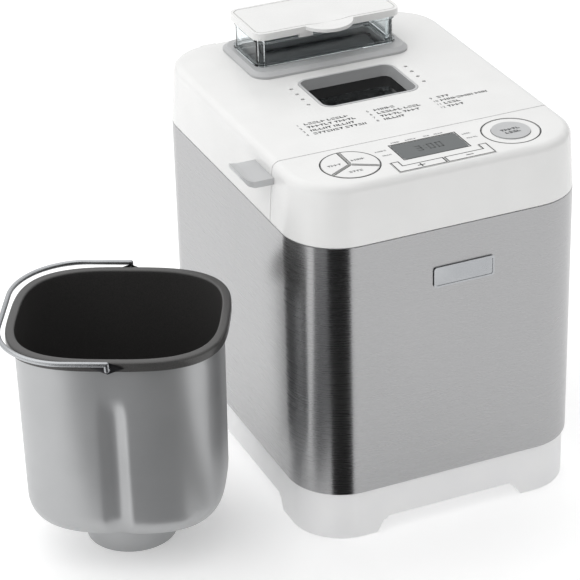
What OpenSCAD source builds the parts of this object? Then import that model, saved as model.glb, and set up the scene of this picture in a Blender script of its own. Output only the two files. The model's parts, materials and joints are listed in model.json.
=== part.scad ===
// Compact bread machine with a fruit-and-nut dispenser in its lid.
// The bread pan stands on the floor beside it, at the front left corner.
// The machine's own middle is at machine_at; the origin is under the middle of the whole set.

/* [Body] */
// Width of the machine across its side walls
body_w = 240; // [236:1:250]
// Depth of the machine from front to back
body_d = 304; // [300:1:312]
// Radius of the body's upright corners
corner_r = 45; // [42:1:46]
// Height of the gap under the base between the feet
foot_gap = 13.5; // [11:0.5:14]
// Height of the steel wrap's lower edge
base_top = 43; // [40:1:46]
// Height of the steel wrap's upper edge
steel_top = 257; // [256:0.5:257]
// Thickness of the steel sheet
steel_t = 1; // [0.8:0.1:1.2]

/* [Lid and controls] */
// Height of the flat white top
top_z = 306; // [306:0.5:307]
// Rounding along the top edge
top_edge = 7; // [5:0.5:8]
// How far each white wall leans in from bottom to top
top_draft = 2.5; // [1.5:0.5:3]
// Distance of the seam between controls and lid in front of the middle
seam_y = 85; // [84:0.5:86]
// Width of the viewing window
window_w = 80; // [70:1:84]
// Depth of the viewing window
window_d = 55; // [50:1:58]
// Radius of the start button
start_r = 15; // [13:0.5:16]
// Radius of the round three-part button pad
pad_r = 21.8; // [20:0.2:23]

/* [Dispenser] */
// Width of the clear dispenser box
box_w = 120; // [114:1:122]
// Depth of the clear dispenser box
box_d = 52; // [48:1:54]
// Height of the clear box's upper edge
box_top = 334; // [328:1:336]

/* [Pan] */
// Width of the bread pan's body
pan_w = 157; // [152:1:160]
// Depth of the bread pan's body
pan_d = 141; // [136:1:144]
// Height of the pan's rim above the floor
pan_h = 193; // [186:1:196]
// Turn of the pan about its upright axis, in degrees
pan_turn = -27; // [-40:1:-20]

/* [Hidden] */
machine_at = [105.8, -4.3, 0];
pan_at = [-234, -56.5, 0];
clear = 0.4;
wall = 3;
lid_z = steel_top + 0.8;
chamber_y = 30;
chamber_w = 186;
chamber_d = 192;
chamber_r = 22;
chamber_z = 60;
hinge_y = body_d/2 - 5.5;
hinge_z = 266;
pin_r = 2;
motor_at = [-45, -108, 0];
drive_at = [0, chamber_y, 0];
drive_r = 45;
motor_pulley_r = 11;
belt_z = 25;
belt_h = 10;
box_y = 98;
flap_y = 118;
flap_z = 300;
dlid_hinge_y = 129;
dlid_hinge_z = box_top + 1;
board_z = 290;
button_z = 302.6;
button_top = top_z + 0.3;
pad_at = [-67, -115, 0];
start_at = [67, -115, 0];
bail_z = pan_h - 4;
rim_out = 5.8;
rim_h = 8;
bail_r = 2;
pan_floor = 28;
shaft_r = 4;
$fn = 64;

// ---- shared shapes ----

module plan(w, d, r) {
    square([w - 2*r, d], center = true);
    square([w, d - 2*r], center = true);
    for (sx = [-1, 1], sy = [-1, 1])
        translate([sx*(w/2 - r), sy*(d/2 - r)]) circle(r);
}

module block(w, d, r, z0, z1)
    translate([0, 0, z0]) linear_extrude(z1 - z0) plan(w, d, r);

module ring_wall(w, d, r, t, z0, z1) difference() {
    block(w, d, r, z0, z1);
    block(w - 2*t, d - 2*t, r - t, z0 - 1, z1 + 1);
}

module disc(r, z0, z1) translate([0, 0, z0]) cylinder(r = r, h = z1 - z0);

module tube(r_out, r_in, z0, z1) difference() {
    disc(r_out, z0, z1);
    disc(r_in, z0 - 1, z1 + 1);
}

module rod_x(r, x0, x1) translate([x0, 0, 0]) rotate([0, 90, 0]) cylinder(r = r, h = x1 - x0);

module rod_y(r, y0, y1) translate([0, y0, 0]) rotate([-90, 0, 0]) cylinder(r = r, h = y1 - y0);

module box(x0, x1, y0, y1, z0, z1) translate([x0, y0, z0]) cube([x1 - x0, y1 - y0, z1 - z0]);

// Block with leaning walls and a rounded top edge
module soft_block(w, d, r, z0, z1, edge, lean) hull() {
    block(w, d, r, z0, z0 + 1, $fn = 56);
    for (a = [0:15:90]) let (inset = lean + edge*(1 - cos(a)), z = z1 - edge + edge*sin(a))
        block(w - 2*inset, d - 2*inset, r - inset, z - 0.02, z, $fn = 56);
}

// The whole white upper shell, before the seam parts it into controls and lid
module top_shell() difference() {
    soft_block(body_w, body_d, corner_r, lid_z, top_z, top_edge, top_draft);
    soft_block(body_w - 2*wall, body_d - 2*wall, corner_r - wall, lid_z - 1, top_z - wall,
        top_edge - 1, top_draft);
}

// ---- base and outer skin ----

foot_x = 92;
foot_y = 122;
base_inset = 2.5;

// Cross-section of the gap between two feet: sloping sides that round into the beam
module foot_notch(half, slope, length) rotate([90, 0, 0]) translate([0, 0, -length/2])
    linear_extrude(length) difference() {
        polygon([[-half - slope, -1], [half + slope, -1], [half + slope, 0],
            [half, foot_gap], [-half, foot_gap], [-half - slope, 0]]);
        for (s = [-1, 1]) translate([s*(half + 1), foot_gap + 1]) circle(3.5);
    }

module base_tray() color("#f1f2f2") difference() {
    union() {
        difference() {
            union() {
                block(body_w - 2*base_inset, body_d - 2*base_inset, corner_r - base_inset, 1,
                    base_top - 0.4);
                block(body_w - 2*steel_t - 1, body_d - 2*steel_t - 1, corner_r - 1.5,
                    base_top - 4, base_top + 8);
            }
            block(body_w - 2*base_inset - 2*wall, body_d - 2*base_inset - 2*wall,
                corner_r - base_inset - wall, foot_gap + wall, base_top + 9);
        }
        for (sx = [-1, 1], y = [chamber_y - 70, chamber_y + 70]) translate([sx*74, y, 0])
            disc(6, foot_gap + wall - 1, chamber_z - 0.2);
        for (dx = [-36, 36]) translate(motor_at + [dx, 12, 0])
            disc(4.5, foot_gap + wall - 1, 55.8);
    }
    foot_notch(56, 8, body_d + 10);
    rotate(90) foot_notch(83, 6, body_w + 10);
    for (sx = [-1, 1], sy = [-1, 1]) translate([sx*foot_x, sy*foot_y, 0]) disc(11.2, -1, 4);
}

module foot_pad(i) color("#3a3b3c")
    translate([(i % 2 == 0 ? -1 : 1)*foot_x, (i < 2 ? -1 : 1)*foot_y, 0]) {
        disc(11, 0, 3.9);
    }

grille_w = 104;
grille_z0 = 70;
grille_z1 = 122;
gland_at = [66, 0, 62];

module steel_wrap() color("#b4b6b8") difference() {
    ring_wall(body_w, body_d, corner_r, steel_t, base_top, steel_top);
    box(-grille_w/2, grille_w/2, body_d/2 - 10, body_d/2 + 10, grille_z0, grille_z1);
    translate(gland_at) rod_y(6.3, 120, body_d/2 + 5);
}

// Louvred cover over the air outlet in the back
module rear_grille() color("#e6e7e7") difference() {
    union() {
        box(-grille_w/2 - 4, grille_w/2 + 4, body_d/2 + 0.1, body_d/2 + 2.6, grille_z0 - 4,
            grille_z1 + 4);
        box(-grille_w/2 + clear, grille_w/2 - clear, body_d/2 - 4, body_d/2 + 1,
            grille_z0 + clear, grille_z1 - clear);
    }
    for (i = [0:6], x = [-grille_w/2 + 5, 3])
        box(x, x + grille_w/2 - 8, body_d/2 - 8, body_d/2 + 6, grille_z0 + 4 + 6.6*i,
            grille_z0 + 7.6 + 6.6*i);
}

// Ribbed strain relief where the mains lead leaves the back
module cord_gland() color("#2c2d2e") translate(gland_at) difference() {
    union() {
        rod_y(6, body_d/2 - 8, body_d/2 + 4);
        rod_y(8, body_d/2 + 0.1, body_d/2 + 2.5);
        rod_y(8, body_d/2 - 8, body_d/2 - 4);
        for (i = [0:2]) rod_y(5.2, body_d/2 + 4.6 + 2*i, body_d/2 + 5.8 + 2*i);
        rod_y(4.2, body_d/2, body_d/2 + 9.8);
    }
    rod_y(2.8, body_d/2 - 9, body_d/2 + 11);
}

module nameplate() color("#e2e3e4") translate([9, -body_d/2 - 0.1, 217]) rotate([90, 0, 0])
    difference() {
        linear_extrude(1.2) plan(51, 17, 2.5);
        translate([0, 0, 0.8]) linear_extrude(1) plan(48, 14, 1.5);
    }

// ---- inner frame and lid hinge ----

knuckle_r = 4.5;
fixed_x = [52, 66];
lid_x = [66.6, 80];

module on_hinge() translate([0, hinge_y, hinge_z]) children();

module top_frame() color("#d9dadb") difference() {
    union() {
        block(body_w - 2*steel_t - 0.6, body_d - 2*steel_t - 0.6, corner_r - 1.3, 251, steel_top);
        ring_wall(body_w - 2*steel_t - 0.6, body_d - 2*steel_t - 0.6, corner_r - 1.3, 2.4,
            236, 252);
        translate([0, chamber_y, 0])
            block(chamber_w + 14, chamber_d + 14, chamber_r + 7, steel_top - 1, 261.5);
        intersection() {
            block(body_w - 2*steel_t - 0.6, body_d - 2*steel_t - 0.6, corner_r - 1.3,
                steel_top - 1, 260);
            box(-body_w, body_w, 140, body_d, 250, 270);
        }
        for (s = [-1, 1]) {
            x0 = min(s*fixed_x[0], s*fixed_x[1]);
            on_hinge() rod_x(knuckle_r, x0, x0 + 14);
            box(x0, x0 + 14, 142.2, 149.4, 256, hinge_z - 1);
        }
    }
    translate([0, chamber_y, 0]) block(chamber_w + 2*clear, chamber_d + 2*clear, chamber_r,
        230, 270);
    translate([0, chamber_y, 0])
        block(chamber_w + 9, chamber_d + 9, chamber_r + 4, 259.8, 270);
    box(-100, 100, -body_d/2 + 12, -seam_y - 4, 240, 270);
    on_hinge() rod_x(pin_r + 0.02, -90, 90);
}

module hinge_pin(s) color("#a9abad") on_hinge() {
    rod_x(pin_r, s > 0 ? 50.5 : -81, s > 0 ? 81 : -50.5);
    rod_x(3, s > 0 ? 49.5 : -51.5, s > 0 ? 51.5 : -49.5);
}

// ---- control panel ----

lens_w = 54;
lens_d = 26.5;
lens_y = -111.75;
rocker_y0 = -143.5;
rocker_y1 = -134;
rocker_tip = -126;
rocker_half = 40;

// Outline of one half of the rocker: a bar with an upturned end; grow widens it
module rocker_plan(side, grow) {
    x0 = 0.4 - grow;
    x1 = rocker_half + grow;
    mirror([side < 0 ? 1 : 0, 0]) {
        translate([x0, rocker_y0 - grow]) square([x1 - x0, rocker_y1 - rocker_y0 + 2*grow]);
        translate([rocker_half - 7 - grow, rocker_y0 - grow])
            square([7 + 2*grow, rocker_tip - rocker_y0 + 2*grow]);
    }
}

module control_housing() color("#f4f4f3") difference() {
    union() {
        intersection() {
            top_shell();
            box(-body_w, body_w, -body_d, -seam_y - clear, 0, top_z + 1);
        }
        intersection() {
            soft_block(body_w - 2, body_d - 2, corner_r - 1, lid_z, top_z - 1, top_edge, top_draft);
            box(-body_w, body_w, -seam_y - clear - 2.6, -seam_y - clear, 0, top_z);
        }
        for (sx = [-1, 1], y = [-132, -101]) translate([sx*35, y, 0])
            disc(3, board_z + 1.7, top_z - wall + 0.5);
    }
    translate(pad_at) disc(pad_r + clear, 280, top_z + 2);
    translate(start_at) disc(pad_r + clear, 280, top_z + 2);
    translate([0, lens_y, 0]) block(lens_w, lens_d, 2, 280, top_z + 2);
    translate([0, 0, 290]) linear_extrude(20) {
        rocker_plan(1, clear);
        rocker_plan(-1, clear);
    }
}

module display_lens() color("#5d6263") translate([0, lens_y, 0]) {
    block(lens_w - 0.4, lens_d - 0.4, 1.8, top_z - wall - 0.6, top_z - 0.2);
    block(lens_w + 4, lens_d + 2, 2, top_z - wall - 1.4, top_z - wall - 0.2);
}

module lcd_module() color("#8d9692") translate([0, lens_y, 0]) {
    block(lens_w + 2, lens_d + 1, 1, 296, 301);
    block(lens_w - 8, lens_d - 10, 1, 291.8, 296.5);
}

switches = [pad_at + [-9, 6, 0], pad_at + [9, 6, 0], pad_at + [0, -10, 0], start_at,
    [-20, -138.75, 0], [20, -138.75, 0]];

module control_board() color("#2f6b46") {
    box(-86, 86, -142, -97, board_z, board_z + 1.6);
    for (p = switches) translate(p) disc(3, board_z + 1, board_z + 4.6);
    box(48, 58, -101, -98, board_z + 1, board_z + 7);
    box(-50, -38, -116, -104, board_z + 1, board_z + 3.4);
}

// One third of the round pad, between two spokes; its switch stem hangs below
module pad_button(turn, stem) color("#f2f2f1") translate(pad_at) {
    intersection() {
        disc(pad_r, button_z, button_top);
        rotate(turn) linear_extrude(400) polygon([[0.9, 0.6], [60, 0.6 + 59.1*tan(-30)],
            [60, 80], [0.9, 80]]);
    }
    translate(stem) disc(2.6, board_z + 6, button_z + 0.5);
}

module menu_button() pad_button(120, [-9, 6, 0]);

module colour_button() pad_button(0, [9, 6, 0]);

module size_button() pad_button(240, [0, -10, 0]);

module start_ring() color("#f4f4f3") translate(start_at) {
    tube(pad_r, start_r + clear, top_z - wall - 1, top_z - 0.1);
    tube(pad_r + 2.5, start_r + clear, top_z - wall - 2.4, top_z - wall - 0.2);
}

module start_button() color("#c7c8c9") translate(start_at) difference() {
    union() {
        disc(start_r, button_z, button_top + 0.4);
        disc(2.6, board_z + 6, button_z + 0.5);
    }
    translate([0, 0, button_top + 0.4 + 140 - 0.6]) sphere(140, $fn = 128);
}

module rocker_button(side) color("#f2f2f1") {
    translate([0, 0, button_z]) linear_extrude(button_top - button_z) rocker_plan(side, 0);
    translate([side*20, -138.75, 0]) disc(2.6, board_z + 6, button_z + 0.5);
}

// ---- electrics in the front bay ----

module power_board() color("#3d7350") {
    box(22, 100, -104, -102.4, 62, 190);
    box(34, 66, -126, -103, 96, 128);
    box(74, 92, -116, -103, 100, 122);
    for (i = [0:2]) box(30 + 22*i, 44 + 22*i, -114, -103, 146, 164);
    for (z = [72, 182], x = [30, 92]) translate([x, 0, z]) rod_y(3, -102.6, -92);
}

module capacitor() color("#d8d6cf") translate([68, -124, 0]) {
    disc(14, 56, 90);
    disc(4, 88, 94);
    tube(16, 13.5, 60, 72);
    box(-6, 6, 12, 17, 48, 72);
}

// ---- baking chamber and drive ----

module baking_chamber() color("#9b9da0") translate([0, chamber_y, 0]) difference() {
    union() {
        block(chamber_w, chamber_d, chamber_r, chamber_z, 261);
        block(chamber_w + 8, chamber_d + 8, chamber_r + 4, 260, 261);
    }
    block(chamber_w - 2, chamber_d - 2, chamber_r - 1, chamber_z + 1.2, 270);
    disc(9.4, 40, 80);
    for (s = [-1, 1]) translate([s*12, 0, 76]) rod_y(6.1, -chamber_d/2 - 5, -chamber_d/2 + 5);
    translate([42, 0, 110]) rod_y(4.1, -chamber_d/2 - 5, -chamber_d/2 + 5);
}

module heat_shield() color("#c4c6c8") translate([0, chamber_y, 0]) difference() {
    ring_wall(chamber_w + 14, chamber_d + 14, chamber_r + 7, 1, 66, 235);
    box(-24, 24, -chamber_d, -60, 60, 92);
    translate([42, 0, 110]) rod_y(7, -chamber_d, -60);
}

// Ring in the chamber floor that the pan's skirt drops into, with three lead-in horns
module pan_socket() color("#b9bbbd") translate(drive_at) difference() {
    union() {
        disc(42, chamber_z + 1.4, 70);
        intersection() {
            disc(42, chamber_z + 1.4, 74);
            for (a = [60, 180, 300]) rotate(a) box(30, 50, -9, 9, 60, 80);
        }
    }
    disc(36.4, chamber_z + 2.6, 80);
    disc(20, chamber_z, 80);
    for (a = [0, 120, 240]) rotate(a) box(30, 50, -6, 6, 66, 80);
}

elem_w = 150;
elem_d = 156;
elem_r = 30;
elem_z = 76;
elem_t = 3.2;

// Tubular heater: a rounded loop whose two ends leave through the front wall
module heating_element() color("#6f7275") translate([0, chamber_y, elem_z]) {
    for (s = [-1, 1]) {
        translate([s*elem_w/2, 0, 0]) rod_y(elem_t, -elem_d/2 + elem_r, elem_d/2 - elem_r);
        translate([0, -elem_d/2, 0]) {
            rod_x(elem_t, s > 0 ? 12 : -elem_w/2 + elem_r, s > 0 ? elem_w/2 - elem_r : -12);
            translate([s*12, 0, 0]) {
                sphere(elem_t);
                rod_y(elem_t, -32, 0);
            }
        }
        for (q = [-1, 1]) translate([s*(elem_w/2 - elem_r), q*(elem_d/2 - elem_r), 0])
            rotate(s > 0 ? (q > 0 ? 0 : -90) : (q > 0 ? 90 : 180))
                rotate_extrude(angle = 90) translate([elem_r, 0]) circle(elem_t);
    }
    translate([0, elem_d/2, 0]) rod_x(elem_t, -elem_w/2 + elem_r, elem_w/2 - elem_r);
}

module element_bushes() color("#ece8dc") translate([0, chamber_y - chamber_d/2, elem_z])
    for (s = [-1, 1]) translate([s*12, 0, 0]) difference() {
        union() {
            rod_y(6, -6, 3);
            rod_y(8, 1.3, 3.6);
        }
        rod_y(elem_t + 0.1, -8, 6);
    }

module temperature_sensor() color("#cfd1d2") translate([42, chamber_y - chamber_d/2, 110]) {
    rod_y(2.4, -12, 8);
    rod_y(4, -4, 0.6);
    rod_y(6, 1.3, 2.8);
    rod_y(6, -4, -1.6);
}

module bearing_housing() color("#8e9093") translate(drive_at) difference() {
    union() {
        disc(14, 40, chamber_z - 0.2);
        disc(34, chamber_z - 4, chamber_z - 0.2);
        for (a = [0:60:300]) rotate(a) box(12, 30, -1.5, 1.5, 46, chamber_z - 1);
    }
    disc(9.02, 30, 70);
    for (a = [30:120:270]) rotate(a) translate([28, 0, 0]) disc(2.2, 50, 70);
}

module drive_bush() color("#b08d4a") translate(drive_at) {
    tube(9, 5.05, 40.2, chamber_z + 5);
}

module drive_shaft() color("#c9cbcd") translate(drive_at) disc(5, 21, 75.4);

module drive_coupler() color("#dcdddd") translate(drive_at) {
    tube(8, 5, 66, 75);
    for (a = [45:90:315]) rotate(a) box(7.6, 15, -2, 2, 67, 81);
}

module large_pulley() color("#e4e2da") translate(drive_at) {
    tube(9, 5, 22, 39);
    difference() {
        disc(drive_r + 2.5, belt_z - 2, belt_z + belt_h + 2);
        tube(drive_r + 5, drive_r, belt_z, belt_z + belt_h);
        disc(drive_r - 5, belt_z - 5, belt_z + belt_h + 5);
    }
    for (a = [0:60:300]) rotate(a) box(8, drive_r - 4, -2, 2, belt_z, belt_z + belt_h);
}

module motor_pulley() color("#c9c7bf") translate(motor_at) difference() {
    union() {
        disc(motor_pulley_r + 2, belt_z - 2, belt_z + belt_h + 2);
        disc(8, belt_z + belt_h, belt_z + belt_h + 8);
    }
    tube(motor_pulley_r + 5, motor_pulley_r, belt_z, belt_z + belt_h);
    disc(shaft_r, 0, 80);
}

// Outline round both pulleys, a distance g outside the grooves
module belt_plan(g) {
    span = motor_at - drive_at;
    dist = norm(span);
    heading = atan2(span[1], span[0]);
    spread = acos((drive_r - motor_pulley_r)/dist);
    function rim_point(at, r, a) = [at[0] + r*cos(a), at[1] + r*sin(a)];
    translate(drive_at) circle(drive_r + g);
    translate(motor_at) circle(motor_pulley_r + g);
    polygon([rim_point(drive_at, drive_r + g, heading + spread),
        rim_point(motor_at, motor_pulley_r + g, heading + spread),
        rim_point(motor_at, motor_pulley_r + g, heading - spread),
        rim_point(drive_at, drive_r + g, heading - spread)]);
}

module drive_belt() color("#26282a") translate([0, 0, belt_z + 0.6])
    linear_extrude(belt_h - 1.2) difference() {
        belt_plan(2.2);
        belt_plan(0.35);
    }

motor_r = 31;

module motor_bracket() color("#a4a6a8") translate(motor_at) difference() {
    union() {
        disc(motor_r, 56, 59);
        box(-42, 42, 4, 20, 56, 59);
        for (s = [-1, 1]) box(s*31 - 2, s*31 + 2, -18, 18, 56, 68);
    }
    disc(10, 50, 70);
    for (dx = [-36, 36]) translate([dx, 12, 0]) disc(2, 50, 70);
}

module motor_body() color("#8b8e91") translate(motor_at) difference() {
    union() {
        disc(motor_r - 3, 59.2, 118);
        disc(9.6, 57, 60);
        disc(12, 117, 126);
        disc(motor_r - 1, 70, 104);
        for (a = [0:90:270]) rotate(a + 45) translate([motor_r - 6, 0, 0]) disc(2.5, 100, 120);
    }
    disc(shaft_r + 0.05, 50, 130);
}

module motor_shaft() color("#c9cbcd") translate(motor_at) disc(shaft_r, 22, 129);

// ---- lid ----

lid_cut_y = 138;
window_y = 14.5;
vent_r = 1.65;
chute_w = box_w - 2;
chute_d = box_d - 4;

module lid_cover() color("#f4f4f3") difference() {
    union() {
        intersection() {
            top_shell();
            box(-body_w, body_w, -seam_y + clear, body_d, 0, top_z + 1);
        }
        intersection() {
            soft_block(body_w - 2, body_d - 2, corner_r - 1, lid_z, top_z - 1, top_edge, top_draft);
            box(-body_w, body_w, -seam_y + clear, -seam_y + clear + 2.6, 0, top_z);
        }
        for (s = [-1, 1]) {
            x0 = min(s*lid_x[0], s*lid_x[1]);
            on_hinge() rod_x(knuckle_r, x0, x0 + 13.4);
            box(x0, x0 + 13.4, 142.5, 148.8, hinge_z, top_z - 1.5);
        }
    }
    difference() {
        box(-body_w, body_w, lid_cut_y, body_d, 200, hinge_z + 5);
        for (s = [-1, 1]) {
            x0 = min(s*lid_x[0], s*lid_x[1]);
            box(x0, x0 + 13.4, 140, 150.5, hinge_z, hinge_z + 6);
            on_hinge() rod_x(knuckle_r + 0.01, x0, x0 + 13.4);
        }
    }
    on_hinge() rod_x(pin_r + 0.06, -90, 90);
    translate([0, window_y, 0]) block(window_w + 4.6, window_d + 4.6, 10.3, 280, 320);
    translate([0, box_y, 0]) block(chute_w + 4.6, chute_d + 4.6, 8.3, 280, 320);
    for (s = [-1, 1], i = [0:3]) translate([s*50, -2 + 11*i, 0]) disc(vent_r, 290, 310);
}

// Pressed metal pan that closes the lid's underside, open under window and dispenser
module lid_liner() color("#b3b5b7") difference() {
    union() {
        translate([0, 28, 0]) block(210, 212, 30, 263, 264.2);
        translate([0, 28, 0]) ring_wall(210, 212, 30, 1, 263, 272);
    }
    translate([0, window_y, 0]) block(window_w + 6, window_d + 6, 10, 250, 280);
    translate([0, box_y, 0]) block(chute_w + 5, chute_d + 5, 8.5, 250, 280);
    for (s = [-1, 1], i = [0:3]) translate([s*62, -2 + 11*i, 0]) disc(vent_r, 250, 280);
}

module lid_gasket() color("#c6584a") translate([0, chamber_y, 0])
    ring_wall(chamber_w + 16, chamber_d + 14, chamber_r + 7, 5, 261.9, 262.9);

module window_bezel() color("#a7a9ab") translate([0, window_y, 0]) difference() {
    union() {
        block(window_w + 4, window_d + 4, 10, 297, top_z + 0.2);
        block(window_w + 12, window_d + 12, 12, 297, 299.5);
    }
    hull() for (z = [296.9, top_z + 0.3]) let (g = z > 300 ? 0 : -2)
        block(window_w + g, window_d + g, 8 + g/2, z, z + 0.01, $fn = 48);
}

module window_glass() color("#1b1c1d") translate([0, window_y, 0])
    block(window_w + 10, window_d + 10, 11, 294.4, 296.8);

module inner_glass() color("#26282a") translate([0, window_y, 0])
    block(window_w + 16, window_d + 16, 12, 264.6, 267.6);

tab_x0 = 116.6;
tab_x1 = 142;
tab_y0 = -90;
tab_y1 = -54;

// Finger tab that lifts the lid: level at the wall, turned up at its outer lip
module lid_tab() color("#cccdce") difference() {
    intersection() {
        translate([-(tab_x0 + tab_x1)/2, (tab_y0 + tab_y1)/2, 0]) rotate([90, 0, 0])
            translate([0, 0, -20]) linear_extrude(40)
                polygon([[13, 290], [13, 295.4], [-4, 295.4], [-9, 297], [-12.6, 299.6],
                    [-12.6, 297.6], [-9, 292.4], [-4, 290.4]]);
        translate([-tab_x1 + 20, (tab_y0 + tab_y1)/2, 280]) linear_extrude(30)
            plan(40, tab_y1 - tab_y0, 9);
    }
    soft_block(body_w + 0.2, body_d + 0.2, corner_r + 0.1, lid_z, top_z, top_edge, top_draft);
}

// ---- dispenser ----

frame_w = 138;
frame_d = 82;
frame_y = 97;

module dispenser_frame() color("#dcdddd") difference() {
    union() {
        hull() {
            translate([0, frame_y, 0]) block(frame_w, frame_d, 14, top_z + 0.1, top_z + 2, $fn = 48);
            translate([0, frame_y, 0])
                block(frame_w - 7, frame_d - 7, 11, top_z + 4, top_z + 4.6, $fn = 48);
        }
        translate([0, box_y, 0]) block(chute_w + 4, chute_d + 4, 8, 266, top_z + 1);
    }
    translate([0, box_y, 0]) block(chute_w - 1, chute_d - 1, 5, 250, 303.6);
    translate([0, box_y, 0]) block(chute_w - 6, chute_d - 5, 5, 250, 320);
    translate([0, box_y, 0]) block(box_w + 0.8, box_d + 0.8, 6.4, top_z + 1.6, 320);
    translate([0, flap_y, flap_z]) rod_x(pin_r - 0.45, -62, 62);
}

module dispenser_box() color("#e8f0f2", 0.4) {
    translate([0, box_y, 0]) {
        ring_wall(box_w, box_d, 6, 2, top_z + 1.8, box_top);
        ring_wall(box_w + 4, box_d + 4, 8, 4, top_z + 4.8, top_z + 6.8);
        ring_wall(box_w + 3, box_d + 3, 7.5, 1.6, box_top - 3, box_top);
        for (sx = [-1, 1], sy = [-1, 1]) translate([sx*(box_w/2 - 4), sy*(box_d/2 - 4), 0])
            disc(2.6, top_z + 1.8, box_top);
    }
    for (s = [-1, 1]) difference() {
        union() {
            translate([0, dlid_hinge_y, dlid_hinge_z]) rod_x(3, s*51 - 5, s*51 + 5);
            box(s*51 - 5, s*51 + 5, 122.5, dlid_hinge_y, box_top - 6, dlid_hinge_z - 0.6);
        }
        translate([0, dlid_hinge_y, dlid_hinge_z]) rod_x(1.55, -70, 70);
    }
}

module dispenser_flap() color("#55585a") {
    box(-54, 54, 76, flap_y, flap_z + 0.4, flap_z + 2);
    box(-54, 54, flap_y - 4, flap_y, flap_z - 1.6, flap_z + 2);
    translate([0, flap_y, flap_z]) {
        rod_x(2.6, -55, 55);
        rod_x(1.5, -60.5, 60.5);
    }
}

dlid_w = 128;
dlid_y = 97;
dlid_d = 60;
dlid_z = box_top + 0.7;
dlid_top = box_top + 6.5;
thumb_r = 22;
thumb_y = 74;

module dispenser_lid() color("#f4f4f3") {
    difference() {
        union() {
            translate([0, dlid_y, 0]) block(dlid_w, dlid_d, 9, dlid_z, dlid_top);
            translate([0, thumb_y, 0]) disc(thumb_r, dlid_top - 2.8, dlid_top);
            for (s = [-1, 1]) {
                translate([0, dlid_hinge_y, dlid_hinge_z]) rod_x(3, s*38 - 7.4, s*38 + 7.4);
                box(s*38 - 7.4, s*38 + 7.4, 125, dlid_hinge_y, dlid_hinge_z, dlid_hinge_z + 3);
            }
        }
        translate([0, dlid_y, 0]) block(dlid_w - 5, dlid_d - 5, 6.5, dlid_z - 1, dlid_top - 2.6);
        translate([0, dlid_y, 0])
            ring_wall(dlid_w - 5, dlid_d - 5, 6.5, 1, dlid_top - 1.2, dlid_top + 2);
        translate([0, thumb_y, dlid_top + 149.8]) sphere(151, $fn = 128);
        for (s = [-1, 1]) translate([0, dlid_hinge_y, dlid_hinge_z])
            rod_x(3.5, s*51 - 5.5, s*51 + 5.5);
    }
    for (s = [-1, 1]) translate([0, dlid_hinge_y, dlid_hinge_z])
        rod_x(1.5, s > 0 ? 30 : -56.5, s > 0 ? 56.5 : -30);
    box(-26, -14, 68.2, 70.4, box_top - 2.6, box_top + 4.2);
}

// ---- bread pan ----

// Plan of the pan: a rounded rectangle with gently bowed sides; g moves it outwards
module pan_plan(g) polygon([for (t = [0:6:354]) let (c = cos(t), s = sin(t))
    [(pan_w/2 + g)*sign(c)*pow(abs(c), 0.67), (pan_d/2 + g)*sign(s)*pow(abs(s), 0.63)]]);

module pan_slab(g, z, t) translate([0, 0, z]) linear_extrude(t) pan_plan(g);

module pan_shape(g, z0, z1, edge) hull() {
    for (a = [0:18:90])
        pan_slab(g - 1.5 - edge*(1 - sin(a)), z0 + edge*(1 - cos(a)), 0.02);
    pan_slab(g, z1 - 0.02, 0.02);
}

module at_pan() translate(pan_at) rotate(pan_turn) children();

rib_top = 150;

// Upright rib pressed into the front wall, which stops the dough from sliding round
module pan_rib(r) translate([0, -pan_d/2 - 4.3, 0]) {
    disc(r, pan_floor - 12, rib_top);
    translate([0, 0, rib_top]) sphere(r);
}

module pan_body() color("#a9adb1") at_pan() difference() {
    difference() {
        pan_shape(0, pan_floor, pan_h - 1.7, 24);
        pan_rib(8.2);
    }
    difference() {
        pan_shape(-1.4, pan_floor + 1.6, pan_h + 1, 23);
        pan_rib(9.7);
    }
    disc(8.1, 0, pan_floor + 20);
}

lug_y = pan_d/2 + rim_out + 0.1;

// Collar folded over the pan's edge, with the two diamond lugs that carry the handle
module pan_rim() color("#4a4d50") at_pan() difference() {
    union() {
        difference() {
            pan_slab(rim_out, pan_h - rim_h, rim_h);
            pan_slab(rim_out - 1.6, pan_h - rim_h - 1, rim_h - 0.6);
            pan_slab(-1.6, pan_h - rim_h - 1, rim_h + 2);
        }
        for (s = [-1, 1]) translate([0, s*(lug_y + 0.6), 0]) rotate([90, 0, 0])
            translate([0, 0, -0.7]) linear_extrude(1.4)
                polygon([[-13, bail_z], [0, bail_z - 5.5], [13, bail_z], [0, bail_z + 5.5]]);
    }
    for (s = [-1, 1]) translate([0, 0, bail_z])
        rod_y(bail_r + 0.25, s > 0 ? lug_y - 3 : -100, s > 0 ? 100 : -lug_y + 3);
}

skirt_r = 35.7;

module pan_skirt() color("#c4c7ca") at_pan() {
    tube(skirt_r, skirt_r - 2, 0, pan_floor - 0.2);
    tube(skirt_r, 16, pan_floor - 2, pan_floor - 0.2);
}

module pan_bush() color("#b08d4a") at_pan() {
    tube(8, shaft_r + 0.06, pan_floor - 8, pan_floor + 6);
    tube(14, 7.9, pan_floor - 2.2, pan_floor - 0.2);
}

module pan_shaft() color("#c9cbcd") at_pan() difference() {
    disc(shaft_r, pan_floor - 14, pan_floor + 32);
    box(2.6, 10, -10, 10, pan_floor + 12, pan_floor + 40);
}

module wing_coupling() color("#8f9295") at_pan() {
    tube(7, shaft_r, pan_floor - 15, pan_floor - 9);
    for (a = [0, 180]) rotate(a) box(6, 22, -1.6, 1.6, pan_floor - 15, pan_floor - 9);
}

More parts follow.
